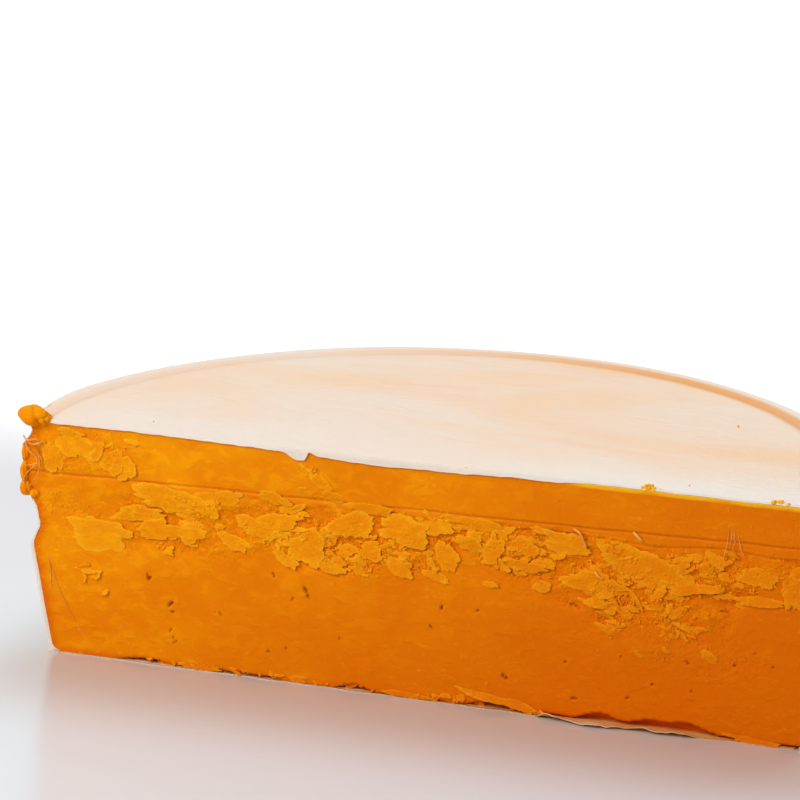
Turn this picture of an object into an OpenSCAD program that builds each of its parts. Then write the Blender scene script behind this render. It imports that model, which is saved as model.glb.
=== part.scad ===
// Half of a low cheddar wheel, standing on its flat base with the knife cut facing -Y.
// X runs along the cut, Z up. The origin is under the middle of the half wheel.

/* [Wheel] */
// Radius of the wheel where its wall is widest
wheel_radius = 178; // [120:1:220]
// How far the wheel's centre lies behind the cut
centre_behind = 3; // [0:0.5:10]
// Height of the wheel, rind included
wheel_height = 100; // [70:1:140]
// Height at which the wall is widest
widest_height = 70; // [45:1:90]
// How far the wall draws in from its widest height down to the foot
foot_draw = 13.5; // [0:0.5:20]
// How far the wall draws in from its widest height up to the rim
rim_draw = 1; // [0:0.5:6]
// Height of the slow waves that handling leaves in the wall
wall_wave = 0.9; // [0:0.1:3]

/* [Rim and foot] */
// Radius of the edge where the wall turns onto the top
rim_round = 4; // [2:0.5:12]
// Radius of the edge where the wall turns under the foot
foot_round = 4; // [2:0.5:10]
// Distance from the rim to the middle of the crease that runs round the top
crease_inset = 12; // [8:0.5:30]
// Width of the crease
crease_width = 5; // [2:0.5:9]
// Depth of the crease
crease_depth = 0.8; // [0.3:0.1:2]

/* [Cut face] */
// Height of the smooth band above the knife line, at the left end
band_left = 23; // [12:0.5:30]
// Height of the smooth band above the knife line, at the right end
band_right = 17; // [10:0.5:30]
// Depth of the knife line
knife_depth = 1; // [0.4:0.1:3]
// Width of the knife line at the face
knife_width = 1.2; // [0.6:0.1:3]
// Height of the torn, flaky stretch under the knife line
torn_height = 38; // [20:1:45]
// How far the torn curd stands in and out of the face
torn_depth = 2; // [0:0.1:3]
// How far the rest of the face wanders from flat
face_wave = 0.4; // [0:0.1:1.5]
// Height of the bites torn out along the bottom edge
bite_height = 3.5; // [1:0.5:8]
// Depth of those bites behind the face
bite_depth = 5; // [1:0.5:10]

/* [Broken corner] */
// How far the wall is worn away down the whole corner
corner_wear = 3.4; // [0:0.2:8]
// Height of the lower lip of the broken rim, over the base
lip_height = 66; // [45:1:80]
// How much further the wall is broken away under that lip
lip_depth = 4.5; // [0:0.5:8]
// Height of the broken stretch
break_height = 16; // [8:1:30]
// Length of the wear and the break along the wall
break_length = 26; // [10:1:60]
// Thickness of the curd squeezed out at the corner
curd_thickness = 9; // [5:0.5:14]
// Length of that curd along the cut
curd_length = 13; // [10:0.5:24]

/* [Hidden] */
// Facets along the cut and round the wall, and rows on the plain part of the wall
COLUMNS = 76;
WALL_ROWS = 16;
EDGE_ROWS = 4;
// Depth of the slab under the base that is trimmed off flat
TRIM = 2;
ROOM = 4 * (wheel_radius + wheel_height);
// Middles and half lengths of the bites along the bottom edge
BITES = [[35, 14], [80, 8], [110, 20]];
// Length over which the face levels out to meet the wall
FACE_ENDS = 12;
// Angle over which the wall's waves die away towards the cut
WAVE_ENDS = 12;
rim_radius = wheel_radius - rim_draw;
curd_round = curd_thickness / 2;
crease_round = (pow(crease_width / 2, 2) + pow(crease_depth, 2)) / (2 * crease_depth);
grain = rands(-1, 1, (COLUMNS + 1) * (WALL_ROWS + 2 * EDGE_ROWS + 3), 11);

// Goes smoothly from 0 at a to 1 at b
function ease(a, b, t) = let (s = min(1, max(0, (t - a) / (b - a)))) s * s * (3 - 2 * s);

// Hump of height 1 about a middle, falling to nothing past its half width
function hump(middle, half, t) = exp(-pow((t - middle) / half, 2));

// The wall's profile from the trimmed slab up to the top: [inset from the wall, height]
profile = concat(
    [[foot_round, -TRIM]],
    [for (k = [0 : EDGE_ROWS - 1])
        let (a = 90 * k / EDGE_ROWS) [foot_round * (1 - sin(a)), foot_round * (1 - cos(a))]],
    [for (k = [0 : WALL_ROWS])
        [0, foot_round + (wheel_height - rim_round - foot_round) * k / WALL_ROWS]],
    [for (k = [1 : EDGE_ROWS])
        let (a = 90 * k / EDGE_ROWS)
            [rim_round * (1 - cos(a)), wheel_height - rim_round * (1 - sin(a))]]
);
ROWS = len(profile);

// How far the wall stands inside its widest radius at a height
function draw_in(z) = z < widest_height
    ? foot_draw * (1 - max(0, z) / widest_height)
    : rim_draw * pow((z - widest_height) / (wheel_height - widest_height), 2);

// How much is missing from the wall, at a height and a distance along the wall from the corner
function broken(z, along) = hump(0, break_length, along) * (corner_wear + lip_depth
    * (1 - ease(lip_height - 1, lip_height + 3, z))
    * ease(lip_height - break_height - 5, lip_height - break_height + 5, z));

// Radius of the wall at a profile row and an angle, 180 at the broken corner
function wall_at(row, angle) = let (z = row[1], along = max(0, 180 - angle) * PI / 180 * wheel_radius)
    wheel_radius - row[0] - draw_in(z) - broken(z, along)
    + wall_wave * (0.6 * sin(3 * angle + 40) + 0.4 * sin(8 * angle + 1.7 * z))
        * ease(0, WAVE_ENDS, angle) * ease(0, WAVE_ENDS, 180 - angle);

// Height of the knife line over the base at a place along the cut
function knife_at(x) = wheel_height - band_left
    + (band_left - band_right) * (x + wheel_radius) / (2 * wheel_radius);

// How strongly the face is torn, 0 to 1, under the knife line and away from the ends
function torn(x, z) = let (t = (knife_at(x) - z) / torn_height)
    ease(0.02, 0.12, t) * (1 - ease(0.75, 1.1, t)) * ease(-0.95, -0.75, x / wheel_radius);

// How deep the bites along the bottom edge reach behind the face
function bitten(x, z) = bite_depth * (1 - ease(bite_height * 0.5, bite_height, z))
    * max([for (b = BITES) hump(b[0], b[1], x)]);

// Where the face lies at a place, in Y, and flat where it meets the wall
function face_at(x, z, n) = ease(0, FACE_ENDS, wheel_radius - foot_draw - foot_round - abs(x))
    * (bitten(x, z) + torn(x, z) * torn_depth * grain[n]
        + face_wave * (sin(2.1 * x + 3 * z) + sin(5 * z - 1.3 * x)) / 2);

// Half the length of the cut at a profile row, to the end at an angle of 0 or 180
function half_cut(row, angle) = sqrt(pow(wall_at(row, angle), 2) - pow(centre_behind, 2));

// Points of the cut face, left to right in each row, then points of the wall round the back
face_points = [for (j = [0 : ROWS - 1]) for (i = [0 : COLUMNS])
    let (s = 2 * i / COLUMNS - 1, x = s * half_cut(profile[j], s < 0 ? 180 : 0), z = profile[j][1])
        [x, face_at(x, z, j * (COLUMNS + 1) + i), z]];
wall_points = [for (j = [0 : ROWS - 1]) for (i = [0 : COLUMNS])
    let (past = asin(centre_behind / wheel_radius), angle = 180 + past - (180 + 2 * past) * i / COLUMNS,
        r = wall_at(profile[j], angle))
        [r * cos(angle), centre_behind + r * sin(angle), profile[j][1]]];

// The wall's two end columns are the face's own
function on_face(i, j) = j * (COLUMNS + 1) + i;
function on_wall(i, j) = i == 0 || i == COLUMNS ? on_face(i, j) : len(face_points) + on_face(i, j);

// A four-sided patch as two triangles, without the ones that close to a line
function patch(a, b, c, d) = [for (t = [[a, b, c], [a, c, d]])
    if (t[0] != t[1] && t[1] != t[2] && t[0] != t[2]) t];

patches = concat(
    [for (j = [0 : ROWS - 2]) for (i = [0 : COLUMNS - 1]) each concat(
        patch(on_face(i, j), on_face(i, j + 1), on_face(i + 1, j + 1), on_face(i + 1, j)),
        patch(on_wall(i, j), on_wall(i + 1, j), on_wall(i + 1, j + 1), on_wall(i, j + 1)))],
    [for (i = [0 : COLUMNS - 1]) each concat(
        patch(on_face(i, ROWS - 1), on_wall(i, ROWS - 1), on_wall(i + 1, ROWS - 1),
            on_face(i + 1, ROWS - 1)),
        patch(on_face(i, 0), on_face(i + 1, 0), on_wall(i + 1, 0), on_wall(i, 0)))]
);

// The half wheel with its wall, rim, foot and uneven cut face
module half_wheel() {
    polyhedron(points = concat(face_points, wall_points), faces = patches, convexity = 6);
}

// The groove of the crease, a ring of round section
module crease() {
    translate([0, centre_behind, wheel_height + crease_round - crease_depth])
        rotate_extrude($fn = 96)
            translate([rim_radius - crease_inset, 0])
                circle(r = crease_round, $fn = 48);
}

// The wedge that the knife line takes out of the face
module knife_line() {
    slope = atan2(knife_at(wheel_radius) - knife_at(-wheel_radius), 2 * wheel_radius);
    translate([-wheel_radius, 0, knife_at(-wheel_radius)])
        rotate([0, -slope, 0])
            rotate([90, 0, 90])
                linear_extrude(height = 3 * wheel_radius)
                    polygon([[-ROOM, -knife_width / 2 - ROOM * knife_width / 2 / knife_depth],
                        [knife_depth, 0],
                        [-ROOM, knife_width / 2 + ROOM * knife_width / 2 / knife_depth]]);
}

// The curd squeezed out over the broken corner, a rod with round ends
module curd() {
    reach = curd_length - curd_thickness;
    translate([corner_wear - rim_radius + curd_round, 0, wheel_height - curd_round / 4]) {
        sphere(r = curd_round, $fn = 32);
        rotate([0, 90, 8]) {
            cylinder(r = curd_round, h = reach, $fn = 32);
            translate([0, 0, reach])
                sphere(r = curd_round, $fn = 32);
        }
    }
}

module cheese() {
    color("orange")
        translate([0, (curd_round - centre_behind - wheel_radius) / 2, 0])
            intersection() {
                union() {
                    difference() {
                        half_wheel();
                        crease();
                        knife_line();
                    }
                    curd();
                }
                translate([-ROOM / 2, -ROOM / 2, 0])
                    cube(ROOM);
            }
}

cheese();
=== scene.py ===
import math

import bpy
import numpy as np
from mathutils import Matrix, Vector


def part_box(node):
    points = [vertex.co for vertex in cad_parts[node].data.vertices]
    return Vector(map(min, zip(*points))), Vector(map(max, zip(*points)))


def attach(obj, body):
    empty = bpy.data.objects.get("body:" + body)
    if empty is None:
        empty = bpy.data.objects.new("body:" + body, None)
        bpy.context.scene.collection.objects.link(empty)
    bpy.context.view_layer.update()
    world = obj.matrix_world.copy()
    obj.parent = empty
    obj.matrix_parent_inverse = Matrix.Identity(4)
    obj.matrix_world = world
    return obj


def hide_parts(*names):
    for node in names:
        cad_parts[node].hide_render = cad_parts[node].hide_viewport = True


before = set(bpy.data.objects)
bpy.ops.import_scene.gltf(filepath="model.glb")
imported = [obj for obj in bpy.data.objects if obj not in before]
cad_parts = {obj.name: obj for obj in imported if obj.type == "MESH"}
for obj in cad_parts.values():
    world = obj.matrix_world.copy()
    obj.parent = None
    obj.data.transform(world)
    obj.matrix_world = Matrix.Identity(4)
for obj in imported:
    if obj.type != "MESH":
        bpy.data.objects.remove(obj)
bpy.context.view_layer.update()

# ---------------------------------------------------------------------------------------------
# The curd: one mass of annatto-coloured cheddar, pressed in a round hoop and cut in half with a
# long knife. The face is smooth above a knife line, torn into flakes and crumbs under it, and
# smooth again lower down, with small slits where the curd didn't knit.
# ---------------------------------------------------------------------------------------------

mm = 0.001
low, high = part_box("cheese")
lump_half = 4.5 * mm                       # the squeezed lump reaches this far before the cut
centre_behind = 3 * mm                     # the wheel's centre lies this far behind the cut
corner_length = 26 * mm                    # the corner is worn this far along the wall
wheel_radius = math.hypot(high.x, centre_behind)
wheel_height = high.z - 0.75 * lump_half
cut_y = low.y + lump_half
widest_height = 70 * mm
foot_draw = 13.5 * mm
rim_draw = 1 * mm
rim_round = 4 * mm
foot_round = 4 * mm
rind_thickness = 0.9 * mm
lip_height = 66 * mm
lip_depth = 4.5 * mm
corner_wear = 3.4 * mm
knife_left = wheel_height - 23 * mm
knife_right = wheel_height - 17 * mm


def ease(a, b, t):
    """Goes smoothly from 0 where t is a to 1 where t is b."""
    s = np.clip((t - a) / (b - a), 0, 1)
    return s * s * (3 - 2 * s)


def hump(middle, half, t):
    """A bell of height 1 at the middle, nearly gone two half widths away."""
    return np.exp(-((t - middle) / half) ** 2)


def noise(u, v, size, seed):
    """Random heights from -1 to 1 on a square lattice, blended smoothly between its corners."""
    table = np.random.default_rng(seed).uniform(-1, 1, (256, 256))
    i, j = np.floor(u / size), np.floor(v / size)
    a, b = u / size - i, v / size - j
    a, b = a * a * (3 - 2 * a), b * b * (3 - 2 * b)
    i, j = i.astype(int) % 256, j.astype(int) % 256
    k, m = (i + 1) % 256, (j + 1) % 256
    return ((table[i, j] * (1 - a) + table[k, j] * a) * (1 - b)
            + (table[i, m] * (1 - a) + table[k, m] * a) * b)


def rough(u, v, size, seed, layers=4):
    """Layers of noise added up, each half as wide and half as high as the one before."""
    return sum(noise(u, v, size / 2 ** k, seed + k) / 2 ** k for k in range(layers))


def cells(u, v, size, seed):
    """One random point in each lattice square: the distance to the nearest one, in squares, and
    three random numbers that belong to it."""
    rng = np.random.default_rng(seed)
    spot = rng.uniform(0, 1, (128, 128, 2))
    luck = rng.uniform(0, 1, (128, 128, 3))
    i0, j0 = np.floor(u / size).astype(int), np.floor(v / size).astype(int)
    nearest = np.full(u.shape, 9.0)
    own = np.zeros(u.shape + (3,))
    for di in (-1, 0, 1):
        for dj in (-1, 0, 1):
            i, j = i0 + di, j0 + dj
            point = spot[i % 128, j % 128]
            far = np.hypot(u / size - i - point[..., 0], v / size - j - point[..., 1])
            nearer = far < nearest
            own = np.where(nearer[..., None], luck[i % 128, j % 128], own)
            nearest = np.where(nearer, far, nearest)
    return nearest, own


def draw_in(z):
    """How far the wall stands inside its widest radius at a height: a curve in towards the foot
    and a slighter one in towards the rim."""
    below = foot_draw * np.clip(1 - z / widest_height, 0, 1)
    above = rim_draw * np.clip((z - widest_height) / (wheel_height - widest_height), 0, 1) ** 2
    return below + above


def turn_in(z):
    """The round of the foot and of the rim: a quarter circle at each end of the wall."""
    foot = np.clip(foot_round - z, 0, foot_round)
    rim = np.clip(z - wheel_height + rim_round, 0, rim_round)
    return (foot_round - np.sqrt(foot_round ** 2 - foot ** 2)
            + rim_round - np.sqrt(rim_round ** 2 - rim ** 2))


def wall_radius(z, angle):
    """Radius of the outside at a height and an angle, in radians, with pi at the broken corner:
    the profile, less what is worn and broken off there, with slow waves round the back."""
    along = np.maximum(np.pi - angle, 0) * wheel_radius
    above_lip = ease(lip_height - 0.5 * mm, lip_height + 1.5 * mm, z)
    under_lip = (1 - above_lip) * ease(45 * mm, 55 * mm, z)
    under_rim = hump(94 * mm, 4.5 * mm, z)
    ragged = 0.9 * noise(z, along, 5 * mm, 5) + 0.5 * noise(z, along, 2 * mm, 6)
    ragged = ragged * ease(44 * mm, 50 * mm, z) + 0.25
    broken = hump(0, corner_length, along) * (
        corner_wear + lip_depth * under_lip + mm * ragged + lip_depth * under_rim)
    away = ease(0, 0.2, angle) * ease(0, 0.2, np.pi - angle)
    waves = 0.6 * np.sin(3 * angle + 0.7) + 0.4 * np.sin(8 * angle + 97 * z)
    return wheel_radius - draw_in(z) - turn_in(z) - broken + 0.9 * mm * waves * away


def half_cut(z, angle):
    """Half the length of the cut at a height, as a chord that misses the wheel's centre."""
    return np.sqrt(wall_radius(z, angle) ** 2 - centre_behind ** 2)


def knife_line(x):
    """Height of the knife line, a straight line from end to end."""
    return knife_left + (knife_right - knife_left) * (x / wheel_radius + 1) / 2


def torn(x, z):
    """How strongly the face is torn, 0 to 1: from just under the knife line down to a ragged edge,
    weak near the left end, with a crumbly patch that climbs over the knife line."""
    under = (knife_line(x) - z) / mm + 1.5 * noise(x, z, 5 * mm, 24)
    reach = (36 + 5 * noise(x, z * 0, 30 * mm, 21) + 5 * noise(x, z, 9 * mm, 22)
             + 6 * ease(30 * mm, 70 * mm, x) - 14 * hump(14 * mm, 24 * mm, x)
             - 17 * ease(128 * mm, 150 * mm, x))
    start = 1.2 + 3 * ease(60 * mm, 110 * mm, x) + 2.5 * ease(-60 * mm, -100 * mm, x)
    band = ease(0, 2.5, under - start) * ease(0, 9, reach - under) * ease(-138 * mm, -118 * mm, x)
    climb = (hump(-42 * mm, 9 * mm, x + 0.5 * (z - 84 * mm)) * ease(95 * mm, 91 * mm, z)
             * ease(70 * mm, 78 * mm, z) * ease(-0.1, 0.5, noise(x, z, 4 * mm, 25)))
    fine = hump(118 * mm, 32 * mm, x) * hump(34 * mm, 9 * mm, z)
    faint = (ease(-172 * mm, -160 * mm, x) * ease(-105 * mm, -125 * mm, x)
             * ease(40 * mm, 52 * mm, z) * ease(0, 5, under - start))
    picked = (hump(-150 * mm, 20 * mm, x) * ease(0.5, 3, -under)
              * ease(wheel_height - 1 * mm, wheel_height - 4 * mm, z))
    return np.clip(band + climb + 0.5 * fine + 0.4 * faint + 0.9 * picked, 0, 1)


def slits(x, z):
    """Depth of the small slits: crooked lenses, each with its place, half length, half width (mm)
    and lean in degrees, and a few smaller ones scattered over the lower half."""
    rng = np.random.default_rng(77)
    few = [(-117, 37.5, 1.8, 0.9, -50), (-115, 36, 1.3, 0.7, 20), (-62, 45, 0.9, 0.6, -20),
           (-48, 40, 2.2, 0.9, -60), (-47, 37.5, 1.4, 0.7, -35), (-107, 27, 1.7, 0.9, 70),
           (-106.5, 24, 1.2, 0.7, 50), (-86, 25.5, 1.8, 0.7, -15), (-107, 15.5, 1.0, 0.5, 80),
           (-106.5, 13, 0.8, 0.5, 60), (10.5, 40, 1.3, 0.6, 70), (6, 31.5, 1.2, 0.6, -50),
           (-64, 12, 1.0, 0.5, 10), (38, 14, 1.9, 0.7, -20), (26, 41, 0.8, 0.5, 0),
           (114, 30.5, 0.8, 0.6, 0), (133, 31.5, 1.2, 0.6, 0), (99.5, 19, 0.8, 0.5, 0),
           (67, 9, 1.5, 0.6, 20), (89.5, 12, 1.0, 0.5, 0), (128, 53, 2.4, 0.9, 10),
           (66, 48, 3.2, 0.5, -6), (-50, 74, 2.6, 0.5, -20), (40, 58, 2.8, 0.5, -8)]
    spans = ((-130, 155), (10, 42), (0.4, 1.0), (0.25, 0.4), (-80, 80))
    many = [[rng.uniform(*span) for span in spans] for _ in range(14)]
    depth = np.zeros(x.shape)
    for at_x, at_z, length, width, lean in few + many:
        c, s = math.cos(math.radians(lean)), math.sin(math.radians(lean))
        a, b = (x / mm - at_x) * c + (z / mm - at_z) * s, (z / mm - at_z) * c - (x / mm - at_x) * s
        b = b + 0.9 * width * noise(x, z, 1.1 * mm, 79) + 0.4 * a * np.abs(a) / length
        depth = np.maximum(depth, ease(1.1, 0.7, np.hypot(a / length, b / (0.7 * width))))
    return depth


def bites(x, z):
    """How far the torn bottom edge lies behind the face, 0 to 1: low bites with ragged roofs."""
    roof = 3.9 * mm + 1.2 * mm * rough(x, z * 0, 9 * mm, 31) + 1.1 * mm * hump(100 * mm, 30 * mm, x)
    where = np.maximum.reduce([hump(36 * mm, 12 * mm, x), hump(77 * mm, 9 * mm, x),
                               1.1 * hump(108 * mm, 19 * mm, x), 0.45 * hump(-92 * mm, 22 * mm, x),
                               0.4 * hump(0, 14 * mm, x),
                               (0.22 + 0.34 * noise(x, z * 0, 13 * mm, 32))
                               * ease(-140 * mm, -120 * mm, x)])
    return ease(0, 1.0 * mm, roof * where - z)


def swell(x, z):
    """The slow rise and fall of the cut, in metres out of its plane."""
    return mm * (0.40 * noise(x, z, 60 * mm, 63) + 0.22 * noise(x, z, 19 * mm, 64))


def steps(u, v, size, seed, levels):
    """Ragged terraces: noise with its height sorted into a few flat levels with steep edges."""
    n = rough(u, v, size, seed, 5) * levels
    return (np.floor(n) + ease(0.0, 0.16, n - np.floor(n))) / levels


def face_out(x, z):
    """How far the curd stands out of the plane of the cut: slow swell, a step and groove at the
    knife line, ragged sheets and crumbs over the torn stretch, slits and bites."""
    tear = torn(x, z)
    warp_x, warp_z = x + 3 * mm * noise(x, z, 9 * mm, 51), z + 2 * mm * noise(x, z, 7 * mm, 52)
    sheets = (1.0 * steps(0.55 * warp_x + 0.2 * z, warp_z, 12 * mm, 41, 2.6)
              + 0.55 * steps(0.7 * warp_x, warp_z, 5 * mm, 46, 2.0))
    far, luck = cells(x + mm * noise(x, z, 2 * mm, 56), z, 1.7 * mm, 53)
    grains = ease(0.7, 0.2, far) * (luck[..., 0] > 0.5) * (0.3 + luck[..., 1])
    crumbly = ease(-0.25, 0.6, rough(x, z, 16 * mm, 61))
    cracks = hump(0, 0.03, rough(warp_x, z, 12 * mm, 57)) * ease(-0.2, 0.4, noise(x, z, 11 * mm, 58))
    relief = 0.75 * sheets + 0.45 * grains * crumbly - 0.4 * cracks - 0.75
    under = (knife_line(x) - z) / mm + 0.3 * noise(x, z, 15 * mm, 62)
    line = -0.7 * hump(0.3, 0.5, under) + (0.2 + 0.15 * ease(0, 60 * mm, x)) * ease(0.8, -0.3, under)
    second = under - 4.3 - 1.2 * noise(x, z * 0, 25 * mm, 66)
    step = (0.4 * ease(0.4, -0.3, second) - 0.35 * hump(0.2, 0.35, second)) * ease(-0.02, 0.05, x)
    skin = 0.02 * rough(0.7 * x, z, 3 * mm, 65) + (
        0.35 * ease(wheel_height - 3 * mm, wheel_height - 1.2 * mm, z) * ease(40 * mm, 90 * mm, x))
    pits = (1.0 * slits(x, z) * (1 - 0.7 * tear)
            + 0.8 * ease(0.90, 0.99, noise(x, z, 1.6 * mm, 67) ** 2) * ease(0.3, 0.7, tear))
    ends = ease(0, 4 * mm, wheel_radius - draw_in(z) - turn_in(z) - np.abs(x) - 1 * mm)
    out = skin + line + step + tear * relief - pits - 5.0 * bites(x, z)
    return (mm * out + swell(x, z)) * ends


def above_mean(height, reach):
    """How far each point of a grid stands over the mean of its neighbours up to so many away."""
    mean = height
    for axis in (0, 1):
        mean = sum(np.roll(mean, k, axis) for k in range(-reach, reach + 1)) / (2 * reach + 1)
    return height - mean


def grid(rows, columns, first=0, turned=False):
    """Four-sided faces of a grid of points stored row by row, seen from the side they face."""
    i, j = np.meshgrid(np.arange(columns - 1), np.arange(rows - 1))
    a = (first + j * columns + i).ravel()
    quads = np.stack([a, a + 1, a + columns + 1, a + columns], -1)
    return quads[:, ::-1] if turned else quads


def make_piece(name, points, faces, marks=None, sharp=0):
    """A mesh piece from an array of points and a list of arrays of faces. Marks are numbers that
    belong to its points, which its material reads by name. Edges over so many degrees stay sharp."""
    mesh = bpy.data.meshes.new(name)
    corners = np.concatenate([f.ravel() for f in faces]).astype(np.int32)
    sizes = np.concatenate([np.full(len(f), f.shape[1]) for f in faces])
    mesh.vertices.add(len(points))
    mesh.vertices.foreach_set("co", np.asarray(points, np.float32).ravel())
    mesh.loops.add(len(corners))
    mesh.loops.foreach_set("vertex_index", corners)
    mesh.polygons.add(len(sizes))
    mesh.polygons.foreach_set("loop_start", np.cumsum(sizes) - sizes)
    mesh.polygons.foreach_set("use_smooth", np.ones(len(sizes), bool))
    for mark, values in (marks or {}).items():
        layer = mesh.attributes.new(mark, "FLOAT", "POINT")
        layer.data.foreach_set("value", np.asarray(values, np.float32).ravel())
    mesh.update(calc_edges=True)
    mesh.validate()
    if sharp:
        mesh.set_sharp_from_angle(angle=math.radians(sharp))
    piece = bpy.data.objects.new(name, mesh)
    bpy.context.scene.collection.objects.link(piece)
    return piece


class Wire:
    """One output of a shader node. Sums and products of wires and numbers add Math nodes."""

    def __init__(self, tree, socket):
        self.tree, self.socket = tree, socket

    def math(self, operation, *values):
        return self.tree.add("ShaderNodeMath", {"operation": operation}, dict(enumerate(values)))

    def __add__(self, other):
        return self.math("ADD", self, other)

    def __sub__(self, other):
        return self.math("SUBTRACT", self, other)

    def __rsub__(self, other):
        return self.math("SUBTRACT", other, self)

    def __mul__(self, other):
        return self.math("MULTIPLY", self, other)

    __radd__, __rmul__ = __add__, __mul__


class Finish:
    """A material, made of nodes that are added one at a time."""

    def __init__(self, name):
        self.material = bpy.data.materials.new(name)
        self.material.use_nodes = True
        self.nodes, self.links = self.material.node_tree.nodes, self.material.node_tree.links
        self.nodes.clear()
        self.place = self.add("ShaderNodeTexCoord", out="Object")

    def add(self, kind, settings=None, sockets=None, out=0):
        """Adds a node with its settings, then the values or links of its sockets."""
        node = self.nodes.new(kind)
        for key, value in (settings or {}).items():
            setattr(node, key, value)
        for key, value in (sockets or {}).items():
            if isinstance(value, Wire):
                self.links.new(value.socket, node.inputs[key])
            else:
                node.inputs[key].default_value = value
        return Wire(self, node.outputs[out]) if len(node.outputs) else None

    def mark(self, name):
        """The number of this name that belongs to the piece's points."""
        return self.add("ShaderNodeAttribute", {"attribute_name": name}, out="Fac")

    def along(self, axis):
        """The place along an axis, in metres."""
        return self.add("ShaderNodeSeparateXYZ", {}, {"Vector": self.place}, axis)

    def cloud(self, scale, detail=3.0, stretch=(1, 1, 1), warp=0.0):
        """Soft noise from about 0.3 to 0.7, with so many waves in a metre."""
        at = self.add("ShaderNodeMapping", {}, {"Vector": self.place, "Scale": stretch})
        return self.add("ShaderNodeTexNoise", {},
                        {"Vector": at, "Scale": scale, "Detail": detail, "Distortion": warp}, "Fac")

    def spread(self, value, low, high):
        """The value stretched so that low becomes 0 and high becomes 1, and held there."""
        return self.add("ShaderNodeMapRange", {"interpolation_type": "SMOOTHSTEP"},
                        {"Value": value, "From Min": low, "From Max": high})

    def mix(self, amount, one, other):
        """One colour where the amount is 0, the other where it is 1."""
        shades = {key: shade if isinstance(shade, Wire) else (*shade, 1)
                  for key, shade in ((6, one), (7, other))}
        return self.add("ShaderNodeMix", {"data_type": "RGBA"}, {0: amount, **shades}, 2)

    def close(self, height, depth, **sockets):
        """Ends the material in one shader, with a bump of so many metres."""
        names = {key.replace("_", " ").title().replace("Ior", "IOR"): value
                 for key, value in sockets.items()}
        if height is not None:
            names["Normal"] = self.add("ShaderNodeBump", {},
                                       {"Height": height, "Distance": depth, "Strength": 1.0})
        shader = self.add("ShaderNodeBsdfPrincipled", {}, names)
        self.add("ShaderNodeOutputMaterial", {}, {"Surface": shader})
        return self.material


def display(*levels):
    """The light values of a colour that a screen shows at these levels, from 0 to 255."""
    return tuple(((v / 255 + 0.055) / 1.055) ** 2.4 if v > 10 else v / 255 / 12.92 for v in levels)


past_half = math.asin(centre_behind / wheel_radius)    # the wall runs so far past half a turn
face_columns, wall_step = 600, 10          # the wall has one column to ten of the face
fine, coarse = face_columns + 1, face_columns // wall_step + 1
row_bands = [(foot_round, 30 * mm, 34), (30 * mm, 72 * mm, 62), (72 * mm, 86 * mm, 35),
             (86 * mm, wheel_height - rim_round, 8)]
quarter = np.linspace(0, np.pi / 2, 7)
rows_z = np.concatenate([foot_round * (1 - np.cos(quarter))[:-1],
                         *(np.linspace(start, end, count)[:-1] for start, end, count in row_bands),
                         wheel_height - rim_round * (1 - np.sin(quarter))])
rows_z = rind_thickness / 2 + rows_z * (wheel_height - 1.5 * rind_thickness) / wheel_height
z, share = np.meshgrid(rows_z, np.linspace(-1, 1, fine), indexing="ij")
x = share * (np.where(share < 0, half_cut(z, np.pi), half_cut(z, 0.0)) - rind_thickness)
stand_out = face_out(x, z)
face = np.stack([x, cut_y - stand_out, z], -1)

wall_z, along = np.meshgrid(rows_z, np.linspace(0, 1, coarse), indexing="ij")
turn = np.pi + past_half - (np.pi + 2 * past_half) * along
reach = wall_radius(wall_z, turn) - rind_thickness
wall = np.stack([reach * np.cos(turn), cut_y + centre_behind + reach * np.sin(turn), wall_z], -1)
wall[:, 0], wall[:, -1] = face[:, 0], face[:, -1]
wall_first, last = len(rows_z) * fine, len(rows_z) - 1


def lid(face_row, wall_row, turned):
    """Joins a fine row of the face to a coarse row of the wall: a fan from each wall point to the
    face points nearest to it, and a triangle to the next wall point."""
    k = np.arange(coarse - 1)
    near = face_row + k * wall_step
    fans = [np.stack([near + n, near + n + 1, wall_row + k], -1) for n in range(wall_step)]
    ends = np.stack([near + wall_step, wall_row + k + 1, wall_row + k], -1)
    faces = np.concatenate([*fans, ends])
    return faces[:, ::-1] if turned else faces


face_marks = {
    "torn": torn(x, z),
    "raised": (stand_out - swell(x, z)) / mm + 3 * above_mean(stand_out, 3) / mm,
    # A painted highlight along the top edge towards the right end, where the edge catches the light
    "bright": (ease(wheel_height - 3.0 * mm, wheel_height - 1.6 * mm, z) * ease(45 * mm, 80 * mm, x)
               * (1.5 + 0.9 * noise(x, z, 8 * mm, 68))),
    "rimmed": np.maximum(ease(6 * mm, 1 * mm, x + half_cut(z, np.pi)), ease(4 * mm, 0.5 * mm, z)),
    "pit": slits(x, z)}
curd = make_piece(
    "curd", np.concatenate([face.reshape(-1, 3), wall.reshape(-1, 3)]),
    [grid(len(rows_z), fine), grid(len(rows_z), coarse, wall_first, turned=True),
     lid(last * fine, wall_first + last * coarse, False), lid(0, wall_first, True)],
    {mark: np.concatenate([values.ravel(), np.zeros(wall_z.size)])
     for mark, values in face_marks.items()})

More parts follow.
